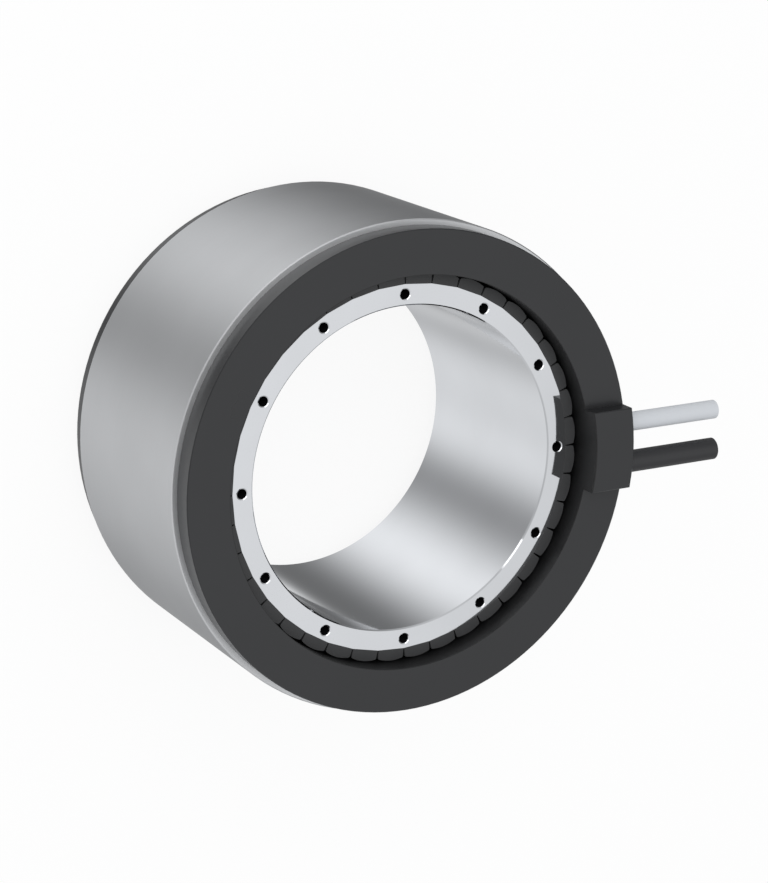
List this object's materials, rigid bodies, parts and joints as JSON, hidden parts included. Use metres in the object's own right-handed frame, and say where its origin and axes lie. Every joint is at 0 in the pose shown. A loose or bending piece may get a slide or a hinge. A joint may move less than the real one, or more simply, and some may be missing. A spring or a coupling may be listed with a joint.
{
  "type": "torque motor",
  "caption": "Frameless direct-drive torque motor: a potted stator in a thin metal ring, an inner magnet rotor ring with a wide bore, and short power and sensor cable stubs.",
  "frame": {"origin": "on the motor's axis, in the plane of the rotor's and the housing's back end", "axes": "+Z along the motor's axis towards the screw holes and the cable block, +X the way the cables leave"},
  "size_m": [0.2788, 0.23, 0.1346],
  "materials": {
    "housing_aluminium": "turned satin",
    "lamination_steel": "stacked sheet edges, lacquered",
    "insulator_plastic": "moulded",
    "winding_copper": "enamelled wire",
    "bus_copper": "bare strip",
    "sensor_bead": "dipped bead",
    "potting_resin": "cast, satin",
    "power_jacket": "extruded, satin",
    "shield_braid": "tinned braid",
    "core_insulation": "extruded",
    "wire_copper": "bright strands",
    "sensor_jacket": "extruded, satin",
    "rotor_steel": "ground and polished",
    "magnet_coating": "passivated, satin"
  },
  "bodies": {
    "stator": {"housing_ring": "housing_aluminium", "stator_core": "lamination_steel", "tooth_insulators": "insulator_plastic", "coils_phase_u": "winding_copper", "coils_phase_v": "winding_copper", "coils_phase_w": "winding_copper", "bus_ring_u": "bus_copper", "bus_ring_v": "bus_copper", "bus_ring_w": "bus_copper", "star_ring": "bus_copper", "temperature_sensor": "sensor_bead", "potting": "potting_resin", "power_cable_jacket": "power_jacket", "power_cable_shield": "shield_braid", "power_cores": "core_insulation", "power_wires": "wire_copper", "sensor_cable_jacket": "sensor_jacket", "sensor_cores": "core_insulation", "sensor_wires": "wire_copper"},
    "rotor": {"rotor_ring": "rotor_steel", "magnet_01": "magnet_coating", "magnet_02": "magnet_coating", "magnet_03": "magnet_coating", "magnet_04": "magnet_coating", "magnet_05": "magnet_coating", "magnet_06": "magnet_coating", "magnet_07": "magnet_coating", "magnet_08": "magnet_coating", "magnet_09": "magnet_coating", "magnet_10": "magnet_coating", "magnet_11": "magnet_coating", "magnet_12": "magnet_coating", "magnet_13": "magnet_coating", "magnet_14": "magnet_coating", "magnet_15": "magnet_coating", "magnet_16": "magnet_coating", "magnet_17": "magnet_coating", "magnet_18": "magnet_coating", "magnet_19": "magnet_coating", "magnet_20": "magnet_coating", "magnet_21": "magnet_coating", "magnet_22": "magnet_coating", "magnet_23": "magnet_coating", "magnet_24": "magnet_coating", "magnet_25": "magnet_coating", "magnet_26": "magnet_coating", "magnet_27": "magnet_coating", "magnet_28": "magnet_coating", "magnet_29": "magnet_coating", "magnet_30": "magnet_coating", "magnet_31": "magnet_coating", "magnet_32": "magnet_coating", "magnet_33": "magnet_coating", "magnet_34": "magnet_coating", "magnet_35": "magnet_coating", "magnet_36": "magnet_coating", "magnet_37": "magnet_coating", "magnet_38": "magnet_coating", "magnet_39": "magnet_coating", "magnet_40": "magnet_coating"}
  },
  "joints": [
    {"name": "rotor_spin", "type": "hinge", "parent": "stator", "child": "rotor", "pos_m": [0, 0, 0.053], "axis": [0, 0, 1], "continuous": true}
  ]
}
